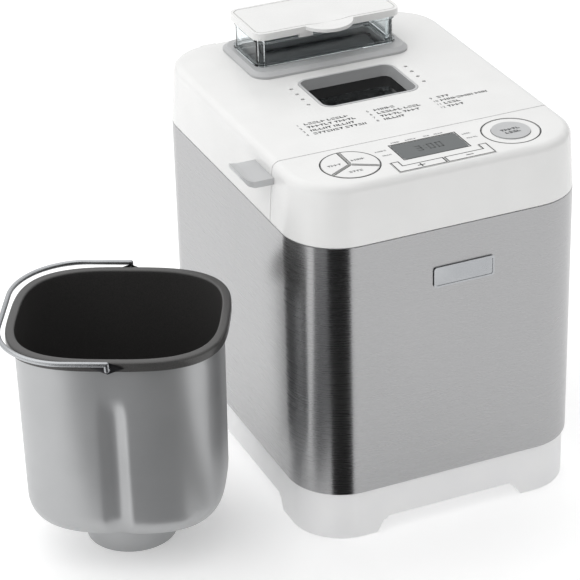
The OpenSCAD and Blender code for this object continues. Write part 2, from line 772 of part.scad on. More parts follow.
// Kneading paddle: a hub with a keyed bore and one swept blade
module kneading_paddle() color("#3c3f41") at_pan() translate([0, 0, pan_floor]) difference() {
    union() {
        disc(8.5, 6.6, 29);
        rotate(20) hull() {
            box(0, 8, -4, 4, 7, 28);
            translate([50, 0, 0]) disc(2.5, 7, 13, $fn = 32);
            translate([34, 0, 0]) disc(3, 7, 24, $fn = 32);
        }
    }
    difference() {
        disc(shaft_r + 0.15, 2, 42);
        box(2.8, 10, -10, 10, 12, 42);
    }
}

bail_x = pan_w/2 + rim_out + 3.8;
bail_y = lug_y + 3.8;
bail_bend = 56;
bail_rise = 5;

// Wire handle: it lies to the left round the rim; each end steps down and enters its lug
module pan_handle() color("#8c8f92") at_pan() {
    for (s = [-1, 1]) translate([0, 0, bail_z]) {
        rod_y(bail_r, s > 0 ? lug_y - 1 : -bail_y, s > 0 ? bail_y : -lug_y + 1);
        translate([0, s*bail_y, 0]) {
            sphere(bail_r);
            disc(bail_r, 0, bail_rise);
        }
        translate([0, s*bail_y, bail_rise]) {
            rod_x(bail_r, -bail_x + bail_bend, 0);
            sphere(bail_r);
        }
        translate([-bail_x + bail_bend, s*(bail_y - bail_bend), bail_rise])
            rotate(s > 0 ? 90 : 180) rotate_extrude(angle = 90)
                translate([bail_bend, 0]) circle(bail_r);
    }
    translate([-bail_x, 0, bail_z + bail_rise])
        rod_y(bail_r, -bail_y + bail_bend, bail_y - bail_bend);
}

// ---- assembly ----

module in_place() translate(machine_at) children();

in_place() {
    base_tray();
    for (i = [0:3]) foot_pad(i);
    steel_wrap();
    rear_grille();
    cord_gland();
    nameplate();
    top_frame();
    hinge_pin(-1);  // hinge_pin_left
    hinge_pin(1);  // hinge_pin_right
    control_housing();
    display_lens();
    lcd_module();
    control_board();
    start_ring();
    menu_button();
    colour_button();
    size_button();
    start_button();
    rocker_button(1);  // minus_button
    rocker_button(-1);  // plus_button
    power_board();
    capacitor();
    baking_chamber();
    heat_shield();
    pan_socket();
    heating_element();
    element_bushes();
    temperature_sensor();
    bearing_housing();
    drive_bush();
    motor_bracket();
    motor_body();
    drive_belt();
    drive_shaft();
    drive_coupler();
    large_pulley();
    motor_shaft();
    motor_pulley();
    lid_cover();
    lid_liner();
    lid_gasket();
    window_bezel();
    window_glass();
    inner_glass();
    lid_tab();
    dispenser_frame();
    dispenser_box();
    dispenser_flap();
    dispenser_lid();
    pan_body();
    pan_rim();
    pan_skirt();
    pan_bush();
    pan_handle();
    pan_shaft();
    wing_coupling();
    kneading_paddle();
}
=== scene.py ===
# %% [markdown]
# # A bread machine, dressed for a studio picture
# The solid parts arrive as a fixed frame, each one on the body that carries it. This lesson
# gives every part its real finish, and adds the thin and soft-edged pieces that sheet metal,
# printing and wire need.

# %% Load the frame
import json
import math
import bpy
import numpy as np
from mathutils import Matrix, Vector


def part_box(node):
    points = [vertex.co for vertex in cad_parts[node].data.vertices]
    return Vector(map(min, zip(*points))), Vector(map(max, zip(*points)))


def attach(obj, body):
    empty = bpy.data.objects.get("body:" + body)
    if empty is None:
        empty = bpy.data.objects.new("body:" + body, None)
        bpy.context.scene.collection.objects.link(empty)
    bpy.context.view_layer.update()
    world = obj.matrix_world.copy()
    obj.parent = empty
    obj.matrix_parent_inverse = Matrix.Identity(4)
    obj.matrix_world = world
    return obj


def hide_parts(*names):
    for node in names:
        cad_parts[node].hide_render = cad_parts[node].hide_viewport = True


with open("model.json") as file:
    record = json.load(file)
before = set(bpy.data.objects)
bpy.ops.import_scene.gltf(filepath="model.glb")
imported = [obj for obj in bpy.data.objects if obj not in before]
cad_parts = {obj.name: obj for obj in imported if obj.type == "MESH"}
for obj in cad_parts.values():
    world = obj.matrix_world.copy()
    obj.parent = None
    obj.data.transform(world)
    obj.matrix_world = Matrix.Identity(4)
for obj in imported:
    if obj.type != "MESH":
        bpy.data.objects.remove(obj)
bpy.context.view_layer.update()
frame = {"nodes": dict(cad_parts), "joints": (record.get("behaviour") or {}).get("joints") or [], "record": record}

MM = 0.001
nodes = frame["nodes"]
joints = {joint["name"]: joint for joint in frame["joints"]}

# %% [markdown]
# ## Where things are
# The steel wrap is symmetrical, so the middle of its box is the middle of the machine. All
# places on the machine are given in millimetres from that middle, on the floor.

# %% The machine's middle and main heights
wrap_low, wrap_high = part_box("steel_wrap")
middle = np.array([(wrap_low.x + wrap_high.x)/2, (wrap_low.y + wrap_high.y)/2, 0.0])
half_w = (wrap_high.x - wrap_low.x)/2/MM
half_d = (wrap_high.y - wrap_low.y)/2/MM
steel_top = wrap_high.z/MM
white_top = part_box("control_housing")[1].z/MM


def at(x, y, z):
    """A place in millimetres from the machine's middle, as metres in the frame."""
    return Vector(middle + np.array([x, y, z])*MM)


print(f"body {2*half_w:.0f} x {2*half_d:.0f} mm, steel to {steel_top:.0f}, top {white_top:.0f}")

# %% [markdown]
# ## The camera
# A long lens about two metres away keeps the upright edges nearly parallel, as in a
# catalogue picture. It looks down from the front left, and a small shift centres the set in
# the frame without turning the camera.

# %% Camera
YAW, PITCH, ROLL = math.radians(23.288), math.radians(28.651), -0.025
EYE = (-776.2, -1660.7, 1116.6)  # millimetres from the machine's middle
forward = Vector((math.sin(YAW)*math.cos(PITCH), math.cos(YAW)*math.cos(PITCH), -math.sin(PITCH)))
right = Vector((math.cos(YAW), -math.sin(YAW), 0))
up = right.cross(forward)
tilted_right = math.cos(ROLL)*right + math.sin(ROLL)*up
tilted_up = math.cos(ROLL)*up - math.sin(ROLL)*right
turn = Matrix((tilted_right, tilted_up, -forward)).transposed().to_4x4()

lens = bpy.data.cameras.new("catalogue_lens")
lens.lens = 158.04
lens.shift_x, lens.shift_y = -0.0158, 0.0289
camera = bpy.data.objects.new("camera", lens)
bpy.context.scene.collection.objects.link(camera)
camera.matrix_world = Matrix.Translation(at(*EYE)) @ turn
bpy.context.scene.camera = camera
bpy.context.scene.view_settings.view_transform = "Standard"
print("camera at", [round(v, 3) for v in camera.location])

# %% [markdown]
# ## Helpers for surfaces
# Each new piece is a grid of points worked out by a formula. One function joins the grid's
# neighbours into four-sided faces; wrapping a direction joins its last row to its first.

# %% From a grid of points to an object
def grid_faces(rows, columns, wrap_rows, wrap_columns):
    """Corner numbers of each face: point (r, c), its neighbour along c, then along r."""
    r = np.arange(rows if wrap_rows else rows - 1)[:, None]
    c = np.arange(columns if wrap_columns else columns - 1)[None, :]
    r2, c2 = (r + 1) % rows, (c + 1) % columns
    corners = [r*columns + c, r*columns + c2, r2*columns + c2, r2*columns + c]
    return np.stack([np.broadcast_to(k, (r.shape[0], c.shape[1])) for k in corners], -1)


def mesh_of(name, points, faces):
    """A mesh from points (n, 3) in metres and faces (m, 4), with smooth shading."""
    mesh = bpy.data.meshes.new(name)
    corners = faces.reshape(-1, faces.shape[-1])
    mesh.from_pydata(points.reshape(-1, 3).tolist(), [], corners.tolist())
    mesh.shade_smooth()
    mesh.update()
    return mesh


def show(name, mesh, skin, body):
    """Puts a mesh in the scene, riding on a body; skin is its material or a list of them."""
    piece = bpy.data.objects.new(name, mesh)
    bpy.context.scene.collection.objects.link(piece)
    for material in (skin if isinstance(skin, list) else [skin]):
        mesh.materials.append(material)
    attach(piece, body)
    return piece


def grid_piece(name, points, skin, body, wrap_rows=False, wrap_columns=True, flip=False):
    """Shows a grid of points (rows, columns, 3) as one smooth surface; flip turns its faces."""
    faces = grid_faces(points.shape[0], points.shape[1], wrap_rows, wrap_columns)
    if flip:
        faces = faces[..., ::-1]
    piece = show(name, mesh_of(name, points, faces), skin, body)
    print(f"{name}: {faces.reshape(-1, 4).shape[0]} faces")
    return piece


# %% [markdown]
# A turned piece, such as a rivet or a screw head, is a profile of (radius, height) carried
# round an axis. A tube follows a path: at each path point two directions square to the path
# span the circle of its cross-section. Blender's curves could do both with a bevel, but a
# formula says exactly where each point lies and leaves a plain mesh.

# %% Turned pieces and tubes
def turned(profile, centre, axis, around=32):
    """Points (profile, around, 3): centre + height*axis + radius*(cos t*a + sin t*b)."""
    axis = Vector(axis).normalized()
    side = axis.orthogonal().normalized()
    other = axis.cross(side)
    t = np.linspace(0, 2*np.pi, around, endpoint=False)
    ring = np.cos(t)[:, None]*np.array(side) + np.sin(t)[:, None]*np.array(other)
    profile = np.array(profile, float)*MM
    stem = np.array(centre) + profile[:, 1, None]*np.array(axis)
    return stem[:, None, :] + profile[:, 0, None, None]*ring[None]


def tube(path, radius, around=12):
    """Points round a closed flat path: path + radius*(cos t*outward + sin t*up)."""
    ahead = np.roll(path, -1, 0) - np.roll(path, 1, 0)
    ahead /= np.linalg.norm(ahead, axis=1)[:, None]
    outward = np.stack([ahead[:, 1], -ahead[:, 0], 0*ahead[:, 0]], 1)
    t = np.linspace(0, 2*np.pi, around, endpoint=False)
    lift = np.array([0, 0, 1.0])
    return (path[:, None] + radius*(np.cos(t)[None, :, None]*outward[:, None]
                                    + np.sin(t)[None, :, None]*lift))


def rounded_path(half_x, half_y, radius, z, per_corner=24):
    """A rounded rectangle in millimetres from the middle: four quarter arcs, joined."""
    t = np.linspace(0, np.pi/2, per_corner)
    arcs = []
    for quarter, (sx, sy) in enumerate([(1, 1), (-1, 1), (-1, -1), (1, -1)]):
        a = t + quarter*np.pi/2
        arcs.append(np.stack([sx*(half_x - radius) + radius*np.cos(a),
                              sy*(half_y - radius) + radius*np.sin(a), 0*a + z], 1))
    return middle + np.concatenate(arcs)*MM


# %% [markdown]
# ## Helpers for finishes
# Colours are written as the hex values a designer would name, and one function turns them
# into the linear light that the renderer adds up. One small function adds any node, with its
# settings and links, so each finish below reads as a short recipe. Every pattern is noise on
# the object's own coordinates, sized in real millimetres, so it moves with its piece.

# %% Colour and node helpers
def linear(code, alpha=1.0):
    """An sRGB hex code such as F4F4F2 as linear red, green, blue and alpha."""
    parts = np.array([int(code[i:i + 2], 16) for i in (0, 2, 4)])/255
    lin = np.where(parts <= 0.04045, parts/12.92, ((parts + 0.055)/1.055)**2.4)
    return (*lin.tolist(), alpha)


def add(tree, kind, settings=None, inputs=None):
    """Adds one node; settings go on the node, inputs are values or sockets to join."""
    node = tree.nodes.new(kind)
    for key, value in (settings or {}).items():
        setattr(node, key, value)
    for key, value in (inputs or {}).items():
        if isinstance(value, bpy.types.NodeSocket):
            tree.links.new(value, node.inputs[key])
        else:
            node.inputs[key].default_value = value
    return node


def finish(name, **inputs):
    """A new material: returns it, its tree and its surface shader with these inputs set."""
    material = bpy.data.materials.new(name)
    material.use_nodes = True
    shader = material.node_tree.nodes["Principled BSDF"]
    for key, value in inputs.items():
        shader.inputs[key.replace("_", " ")].default_value = value
    return material, material.node_tree, shader


def noise(tree, size_mm, stretch=(1, 1, 1), detail=3.0, rough=0.5):
    """Noise on object coordinates whose features are about size_mm across."""
    place = add(tree, "ShaderNodeTexCoord").outputs["Object"]
    scale = [1/(size_mm*MM)/s for s in stretch]
    scaled = add(tree, "ShaderNodeMapping", inputs={"Vector": place, "Scale": scale})
    return add(tree, "ShaderNodeTexNoise", inputs={
        "Vector": scaled.outputs["Vector"], "Scale": 1.0, "Detail": detail,
        "Roughness": rough}).outputs["Fac"]


def spread(tree, value, low, high):
    """Stretches the middle of a noise, 0.3 to 0.7, over low to high, since few values pass it."""
    return add(tree, "ShaderNodeMapRange", inputs={
        "Value": value, "From Min": 0.3, "From Max": 0.7, "To Min": low,
        "To Max": high}).outputs["Result"]


def relief(tree, shader, height, depth_mm):
    """A bump of a real depth in millimetres."""
    bump = add(tree, "ShaderNodeBump", inputs={
        "Height": height, "Distance": depth_mm*MM, "Strength": 1.0})
    tree.links.new(bump.outputs["Normal"], shader.inputs["Normal"])


def tint(tree, shader, value, dark, light):
    """Colours between two hex codes, by a 0..1 value."""
    mix = add(tree, "ShaderNodeMix", {"data_type": "RGBA"}, {"Factor": value})
    mix.inputs["A"].default_value = linear(dark)
    mix.inputs["B"].default_value = linear(light)
    tree.links.new(mix.outputs["Result"], shader.inputs["Base Color"])


finishes = {}

# %% [markdown]
# ## Moulded plastics
# The white shell is ABS moulded in a polished tool. It is glossy with an IOR near 1.54, but
# cooling leaves a very shallow unevenness some centimetres across, which is what softens the
# reflections. The base comes from a spark-eroded tool, with a fine even grain that turns the
# gloss down. Modelling the grain would take millions of faces, so it is a bump, and one
# function makes every moulding from its ripple, its grain and two close colours.

# %% White and grey ABS
def moulded(name, light, dark, roughness, ripple_mm, ripple_depth, grain_depth):
    """Moulded plastic: slow ripple for gloss, fine grain for texture, faint colour drift."""
    material, tree, shader = finish(name, IOR=1.54)
    slow = noise(tree, ripple_mm, detail=1.0)
    grain = noise(tree, 0.45, detail=2.0)
    tint(tree, shader, spread(tree, slow, 0.0, 1.0), dark, light)
    gloss = spread(tree, grain, roughness - 0.04, roughness + 0.04)
    tree.links.new(gloss, shader.inputs["Roughness"])
    surface = add(tree, "ShaderNodeMath", {"operation": "MULTIPLY_ADD"}, {
        0: slow, 1: ripple_depth/grain_depth, 2: grain})
    relief(tree, shader, surface.outputs["Value"], grain_depth)
    return material


finishes["white_abs"] = moulded("white_polished_ABS", "F1F1F0", "EEEEED", 0.24, 28, 0.010, 0.004)
finishes["base_abs"] = moulded("white_grained_ABS", "F6F6F6", "F3F3F4", 0.42, 30, 0.010, 0.012)
finishes["grey_abs"] = moulded("light_grey_ABS", "C4C5C6", "BFC0C1", 0.36, 22, 0.010, 0.008)
finishes["dark_plastic"] = moulded("dark_glass_filled_PBT", "4A4D4F", "3E4143", 0.5, 14, 0.01, 0.02)
finishes["pulley_nylon"] = moulded("natural_nylon", "E6E1D2", "DCD6C4", 0.45, 12, 0.01, 0.01)
print("plastics:", ", ".join(finishes))

# %% [markdown]
# ## Brushed stainless
# The wrap is stainless sheet drawn along its length over an abrasive belt, so fine lines run
# level all the way round. The lines smear every highlight upright: that is the anisotropy,
# given a quarter turn from the tangent that runs round the sheet. The real lines are about
# 0.1 mm apart, too fine to show, so they are drawn near 0.3 mm. The pan's aluminium is
# blasted, which scatters light so much that it reads half as metal, half as pale powder, so
# its metallic value is lowered.

# %% Brushed stainless and plain metals
def brushed(name, light, dark, roughness, line_mm, anisotropy):
    """Level brushing: noise stretched along the sheet drives colour, gloss and relief."""
    material, tree, shader = finish(name, Metallic=1.0, Anisotropic=anisotropy,
                                    Anisotropic_Rotation=0.25)
    lines = noise(tree, line_mm, stretch=(120, 120, 1), detail=4.0, rough=0.65)
    cloud = noise(tree, 90, detail=1.0)
    tint(tree, shader, spread(tree, lines, 0.0, 1.0), dark, light)
    worn = add(tree, "ShaderNodeMath", {"operation": "MULTIPLY_ADD"}, {
        0: cloud, 1: 0.3, 2: lines}).outputs["Value"]
    gloss = spread(tree, worn, roughness - 0.03, roughness + 0.04)
    tree.links.new(gloss, shader.inputs["Roughness"])
    upright = add(tree, "ShaderNodeTangent", {"direction_type": "RADIAL", "axis": "Z"})
    tree.links.new(upright.outputs["Tangent"], shader.inputs["Tangent"])
    relief(tree, shader, lines, 0.0006)
    return material


def plain_metal(name, light, dark, roughness, grain_mm, depth_mm, metallic=1.0):
    """Metal with an even grain: rolled, cast or blasted, by the size of its grain."""
    material, tree, shader = finish(name, Metallic=metallic)
    grain = noise(tree, grain_mm, detail=4.0, rough=0.6)
    cloud = noise(tree, 40, detail=2.0)
    tint(tree, shader, spread(tree, cloud, 0.0, 1.0), dark, light)
    gloss = spread(tree, grain, roughness - 0.05, roughness + 0.07)
    tree.links.new(gloss, shader.inputs["Roughness"])
    relief(tree, shader, grain, depth_mm)
    return material


finishes["brushed_stainless"] = brushed("brushed_stainless", "ABABAC", "A7A7A8", 0.24, 0.3, 0.8)
finishes["plate_steel"] = plain_metal("zinc_plated_steel", "B6B8BA", "A6A8AB", 0.28, 0.6, 0.004)
finishes["cast_alloy"] = plain_metal("die_cast_aluminium", "9FA1A4", "8E9093", 0.45, 0.9, 0.03)
finishes["bead_aluminium"] = plain_metal("bead_blasted_aluminium", "B8B9BA", "B3B4B5", 0.36, 0.5,
                                         0.006, metallic=0.62)
finishes["brass"] = plain_metal("sintered_bronze", "B58F52", "9D7A43", 0.4, 0.4, 0.01)
finishes["heater"] = plain_metal("oxidised_heater_sheath", "55565A", "3F3D40", 0.5, 1.5, 0.02)
bright_edge = plain_metal("polished_steel_edge", "E4E6E8", "D9DBDD", 0.16, 0.6, 0.002)
lug_steel = plain_metal("blackened_lug_steel", "4C4C4E", "434345", 0.4, 0.6, 0.01)
print("metals:", ", ".join(list(finishes)[-6:]))

# %% [markdown]
# ## Non-stick, rubber, glass and the small stuff
# The pan's non-stick is a sprayed fluoropolymer: dark grey-brown, with metallic flecks and a
# soft sheen. The flecks come from one noise that moves colour, gloss and relief together.
# The clear box passes all its light, and the two dark panes none: the display's is smoked grey,
# and the window's near-black colour is painted shade for the dark inside of the machine. Their IOR
# is set under the real 1.5 or so of glass and styrene plastic: at full strength the bright tent
# would mirror in them and hide the dark behind.

# %% Coatings, rubbers and clear plastics
def coated(name, light, dark, roughness, fleck_mm, coat=0.0):
    """A sprayed or moulded skin with flecks of a second tone."""
    material, tree, shader = finish(name, IOR=1.45, Coat_Weight=coat, Coat_Roughness=0.2)
    fleck = noise(tree, fleck_mm, detail=2.0)
    tint(tree, shader, spread(tree, fleck, 0.0, 1.0), dark, light)
    gloss = spread(tree, fleck, roughness - 0.06, roughness + 0.06)
    tree.links.new(gloss, shader.inputs["Roughness"])
    relief(tree, shader, fleck, 0.01)
    return material


def clear(name, colour, roughness, ior, weight):
    """Clear or tinted moulding: light passes through by weight, the rest is body colour."""
    return finish(name, IOR=ior, Base_Color=linear(colour), Transmission_Weight=weight,
                  Roughness=roughness)[0]


finishes["nonstick"] = coated("fluoropolymer_nonstick", "4B4A49", "3B3A3A", 0.36, 0.8, coat=0.3)
finishes["rubber"] = coated("black_rubber", "2B2C2D", "222324", 0.7, 0.7)
finishes["silicone"] = coated("red_silicone", "B4483A", "A63E31", 0.5, 1.2)
finishes["ceramic"] = coated("white_alumina", "EDE8DB", "E2DCCB", 0.3, 1.0)
finishes["film"] = coated("cream_polyester_case", "DDD9CC", "D2CDBD", 0.35, 3.0)
finishes["circuit"] = coated("green_solder_mask", "2F6B46", "275A3B", 0.3, 2.0, coat=0.5)
finishes["clear_san"] = clear("clear_SAN", "F4F8F9", 0.02, 1.35, 1.0)
# The window pane lets no light through: its near-black colour is painted shade for the dark inside
finishes["window_glass"] = clear("window_pane_painted_dark", "0B0B0C", 0.05, 1.25, 0.0)
finishes["lcd"] = clear("smoked_display_window", "5B5F60", 0.12, 1.49, 0.0)
ink = coated("grey_pad_printing", "5C5E60", "545658", 0.6, 0.8)
dark_ink = coated("dark_pad_printing", "222325", "1B1C1E", 0.6, 0.8)
lcd_ink = coated("display_segments", "3A3E3E", "333737", 0.4, 0.8)
print("finishes ready:", len(finishes))

# %% [markdown]
# ## Dressing the solid parts
# Each part's finish is chosen by its slot in the record. The parts' meshes are loose
# triangles, which show as facets on a rounded corner. They could be welded and smoothed by
# hand, but a solid part's mesh is not to be changed, so a modifier does it: a small node group
# welds the triangles, and keeps an edge sharp only where two faces meet at more than 32
# degrees. Rounded corners then read as round, and true edges stay crisp.

# %% Finishes and shading on the solid parts
def soft_shading(sharp_degrees=32.0):
    """A geometry group: weld, shade smooth, then mark edges over the angle as sharp."""
    group = bpy.data.node_groups.new("soft_shading", "GeometryNodeTree")
    group.interface.new_socket("Geometry", in_out="INPUT", socket_type="NodeSocketGeometry")
    group.interface.new_socket("Geometry", in_out="OUTPUT", socket_type="NodeSocketGeometry")
    source = add(group, "NodeGroupInput")
    plain = add(group, "GeometryNodeRemoveAttribute", inputs={
        "Geometry": source.outputs["Geometry"], "Name": "custom_normal"})
    welded = add(group, "GeometryNodeMergeByDistance", inputs={
        "Geometry": plain.outputs["Geometry"], "Distance": 0.02*MM})
    smooth = add(group, "GeometryNodeSetShadeSmooth", {"domain": "FACE"}, {
        "Geometry": welded.outputs["Geometry"], "Shade Smooth": True})
    angle = add(group, "GeometryNodeInputMeshEdgeAngle")
    sharp = add(group, "FunctionNodeCompare", {"data_type": "FLOAT", "operation": "GREATER_THAN"}, {
        "A": angle.outputs["Unsigned Angle"], "B": math.radians(sharp_degrees)})
    edges = add(group, "GeometryNodeSetShadeSmooth", {"domain": "EDGE"}, {
        "Geometry": smooth.outputs["Geometry"], "Selection": sharp.outputs["Result"],
        "Shade Smooth": False})
    sink = add(group, "NodeGroupOutput")
    group.links.new(edges.outputs["Geometry"], sink.inputs["Geometry"])
    return group


shading = soft_shading()
for entry in frame["record"]["subparts"]:
    part = nodes[entry["node"]]
    for holder in part.material_slots:
        holder.link = "OBJECT"
        holder.material = finishes[entry["material_slot"]]
    modifier = part.modifiers.new("soft_shading", "NODES")
    modifier.node_group = shading

# %% [markdown]
# ## The pan
# The pan is one aluminium sheet, deep-drawn: a rounded rectangle in plan, a wide round
# bottom edge, and a rim rolled into a dark collar. It could be a box with rounded edges, but
# then the rib and the roll would be separate lumps. Here one profile runs up the outside,
# over the roll and down the inside, and is carried round the plan, so the wall is one skin
# with its true thickness. The upright rib is a smooth push inwards of both sides of the wall.

# %% The pan's own directions and sizes
axle_low, axle_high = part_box("pan_shaft")
pan_middle = np.array([(axle_low.x + axle_high.x)/2, (axle_low.y + axle_high.y)/2, 0.0])
back = np.array(joints["handle_swing"]["axis"], float)
side = np.array([back[1], -back[0], 0.0])


def pan_sizes(name):
    """Half width, half depth, bottom and top of a node, seen square to the pan, in mm."""
    node = nodes[name]
    flat = np.zeros(len(node.data.vertices)*3, np.float32)
    node.data.vertices.foreach_get("co", flat)
    local = flat.reshape(-1, 3) - pan_middle
    return (np.abs(local @ side).max()/MM, np.abs(local @ back).max()/MM,
            local[:, 2].min()/MM, local[:, 2].max()/MM)


ROLL_ABOVE = 1.7  # the rolled edge ends this much over the wall, in millimetres
pan_half_w, pan_half_d, pan_bottom, wall_end = pan_sizes("pan_body")
pan_top = wall_end + ROLL_ABOVE
rim_half_w = pan_sizes("pan_rim")[0]
print(f"pan {2*pan_half_w:.0f} x {2*pan_half_d:.0f} mm, {pan_bottom:.0f} to {pan_top:.0f}")


def in_pan(x, y, z):
    """Pan coordinates in millimetres, as arrays, to places in the frame."""
    return pan_middle + (x[..., None]*side + y[..., None]*back
                         + z[..., None]*np.array([0, 0, 1.0]))*MM


# %% [markdown]
# Two curves make the shell. The plan is a superellipse, so its sides bow a little and its
# corners are generous, as deep-drawing leaves them. The profile is written as how far each
# point grows past that plan, and how high it lies: bottom edge, outer wall, collar, inner
# wall, bottom edge again.

# %% Plan and profile
AROUND = 288
EDGE_ROWS, WALL_ROWS = 12, 40
# In millimetres: the bottom edge's radius, the sheet, the collar's height, and how far the
# wall leans in at its foot
EDGE, WALL, COLLAR, DRAFT = 24.0, 1.4, 8.0, 1.5


def plan_curve(grow, t):
    """x = w*|cos t|^0.67 and y = d*|sin t|^0.63 with their signs: a rounded rectangle."""
    x = (pan_half_w + grow)*np.sign(np.cos(t))*np.abs(np.cos(t))**0.67
    y = (pan_half_d + grow)*np.sign(np.sin(t))*np.abs(np.sin(t))**0.63
    return x, y


def arc(centre_g, centre_z, radius, start, stop, count):
    """Profile points (growth, height) along an arc between two angles in degrees."""
    a = np.radians(np.linspace(start, stop, count))
    return np.stack([centre_g + radius*np.cos(a), centre_z + radius*np.sin(a)], 1)


outer_wall = np.stack([np.linspace(-DRAFT, -0.2, WALL_ROWS),
                       np.linspace(pan_bottom + EDGE, pan_top - COLLAR + 0.4, WALL_ROWS)], 1)
out = rim_half_w - pan_half_w
collar = np.concatenate([
    [[-0.1, pan_top - COLLAR + 0.5], [out - 0.7, pan_top - COLLAR + 0.5]],
    arc(out - 1.0, pan_top - COLLAR + 1.0, 0.8, -60, 0, 4),
    arc(out - 2.1, pan_top - 2.1, 1.9, 0, 90, 8),
    arc(0.0, pan_top - ROLL_ABOVE, 1.5, 90, 180, 6)])
inner_wall = np.stack([np.linspace(-1.6, -DRAFT - WALL, WALL_ROWS),
                       np.linspace(pan_top - 3, pan_bottom + EDGE, WALL_ROWS)], 1)
profile = np.concatenate([
    arc(-DRAFT - EDGE, pan_bottom + EDGE, EDGE, -90, -8, EDGE_ROWS), outer_wall, collar,
    inner_wall, arc(-DRAFT - EDGE, pan_bottom + EDGE, EDGE - WALL, -8, -90, EDGE_ROWS)])
# Angles crowd where the plan turns fast, so that the four corners stay round
t = np.linspace(0, 2*np.pi, AROUND, endpoint=False)
t = t - 0.06*np.sin(4*t)
grow, height = profile[:, 0, None], profile[:, 1, None]
shell_x, shell_y = plan_curve(grow, t[None])
shell_z = height + 0*t[None]
print("pan wall:", shell_x.shape, "points")

# %% [markdown]
# The floor has a hole for the shaft's bush. The plan shrinks towards it and turns into a
# circle on the way, under the floor and over it, so no point is shared by hundreds of thin
# faces, as the middle of a plain fan would be.

# %% Floor of the pan
HUB = 8.2
FLOOR_ROWS = 8


def floor_rows(x, y, z, fractions):
    """Rows between the last outline and the hub circle: f*outline + (1 - f)*circle."""
    f = np.array(fractions)[:, None]
    return (f*x + (1 - f)*HUB*np.cos(t), f*y + (1 - f)*HUB*np.sin(t), z + 0*f*x)


steps = np.linspace(0, 1, FLOOR_ROWS + 1)
low = floor_rows(shell_x[0], shell_y[0], pan_bottom, steps[:-1])
high = floor_rows(shell_x[-1], shell_y[-1], pan_bottom + WALL, steps[-2::-1])
shell_x, shell_y, shell_z = (np.concatenate([a, b, c]) for a, b, c in zip(
    low, (shell_x, shell_y, shell_z), high))
print("pan shell:", shell_x.shape, "points")

# %% [markdown]
# The rib stops the dough from sliding round. Punched in by a tool, it has no sharp edge: a
# flat-topped bell across, fading out below the collar. It moves points that already exist,
# outside and inside alike, so the wall keeps its thickness. The collar and the inside are
# non-stick, and the rest is bare blasted metal, so the rows of faces are shared out between
# two finishes.

# %% Rib and two finishes
RIB_HALF, RIB_TOP, RIB_DEPTH = 7.0, 150.0, 5.0


def pressed_rib(x, y, z):
    """Depth in mm: exp(-|x/half|^3) across, 1/(1 + e^((z - top)/4)) upwards, front wall only."""
    across = np.exp(-np.abs(x/RIB_HALF)**3)
    along = 1/(1 + np.exp((z - RIB_TOP)/4))*np.clip((z - pan_bottom)/14, 0, 1)
    return RIB_DEPTH*across*along*(y < -30)


shell_y = shell_y + pressed_rib(shell_x, shell_y, shell_z)
shell = grid_piece("pan_shell", in_pan(shell_x, shell_y, shell_z),
                   [finishes["bead_aluminium"], finishes["nonstick"]], "pan", wrap_rows=True)
row = np.repeat(np.arange(shell_x.shape[0]), AROUND)
collar_start = FLOOR_ROWS + EDGE_ROWS + WALL_ROWS
inside = (row >= collar_start) & (row < shell_x.shape[0] - 1)
shell.data.polygons.foreach_set("material_index", inside.astype(np.int32))
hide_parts("pan_body", "pan_rim")

# %% [markdown]
# The handle's ends enter two diamond lugs on the collar, front and back. A lug could be a
# square turned on its corner and bevelled, but its face is a soft swelling, so it is worked
# out: rings of constant |u| + |v|, each standing further out than the one round it. A bright
# rivet head in the middle holds the wire. It turns with the handle, so it rides on that body.

# %% Handle lugs and rivets
bail_height = joints["handle_swing"]["pos_m"][2]/MM
rim_half_d = pan_sizes("pan_rim")[1]


def lug(direction):
    """A diamond |u| + |v| <= 1, 12.6 mm wide and 5.2 mm high each way, swelling by 0.7 mm."""
    reach = np.linspace(1, 0, 9)[:, None]
    a = np.linspace(0, 2*np.pi, 64, endpoint=False)[None]
    flat = np.abs(np.cos(a)) + np.abs(np.sin(a))
    u, v = reach*np.cos(a)/flat, reach*np.sin(a)/flat
    swell = 0.7*(1 - reach**3) + 0*a
    return in_pan(12.6*u, direction*(rim_half_d - 0.75 + swell), bail_height + 5.2*v)


for label, direction in (("front", -1), ("back", 1)):
    grid_piece(f"handle_lug_{label}", lug(direction), lug_steel, "pan", flip=direction < 0)
    centre = in_pan(np.array(0.0), np.array(direction*(rim_half_d - 0.4)), np.array(bail_height))
    head = turned([(0, 3.2), (1.2, 3.1), (2.1, 2.5), (2.4, 1.4), (2.4, 0), (0, 0)], centre,
                  back*direction)
    grid_piece(f"bail_rivet_{label}", head, bright_edge, "bail")

# %% [markdown]
# ## The wrap's bright edge
# Sheet steel catches the light along its cut edge. A bevel on the solid would do it, but that
# shape is fixed. So a fine bead follows the top of the wrap and another closes the bottom,
# each a small circle carried round a rounded rectangle.

# %% Edge beads of the wrap
CORNER = 45.0
for label, z in (("top", steel_top - 0.4), ("bottom", wrap_low.z/MM + 0.5)):
    path = rounded_path(half_w - 0.55, half_d - 0.55, CORNER - 0.55, z)
    grid_piece(f"wrap_edge_{label}", tube(path, 0.5*MM), bright_edge, "machine",
               wrap_rows=True)

# %% [markdown]
# ## Printing on the top
# Marks are pad-printed: a film of ink a few hundredths of a millimetre thick. They could be a
# pattern in the plastic's finish, but then their edges would blur and they would be missing
# from the mesh. So they are flat faces that lie just proud of the plastic. The list of
# programmes is shown as numbers, with plain strokes where words would stand.

# %% Flat marks: bars, rings and numbers
LIFT = 0.07  # ink over plastic, in millimetres
ink_z = white_top + LIFT


def bar(x0, x1, y0, y1, z):
    """Corners of one flat bar, in millimetres from the machine's middle."""
    return np.array([[x0, y0, z], [x1, y0, z], [x1, y1, z], [x0, y1, z]], float)


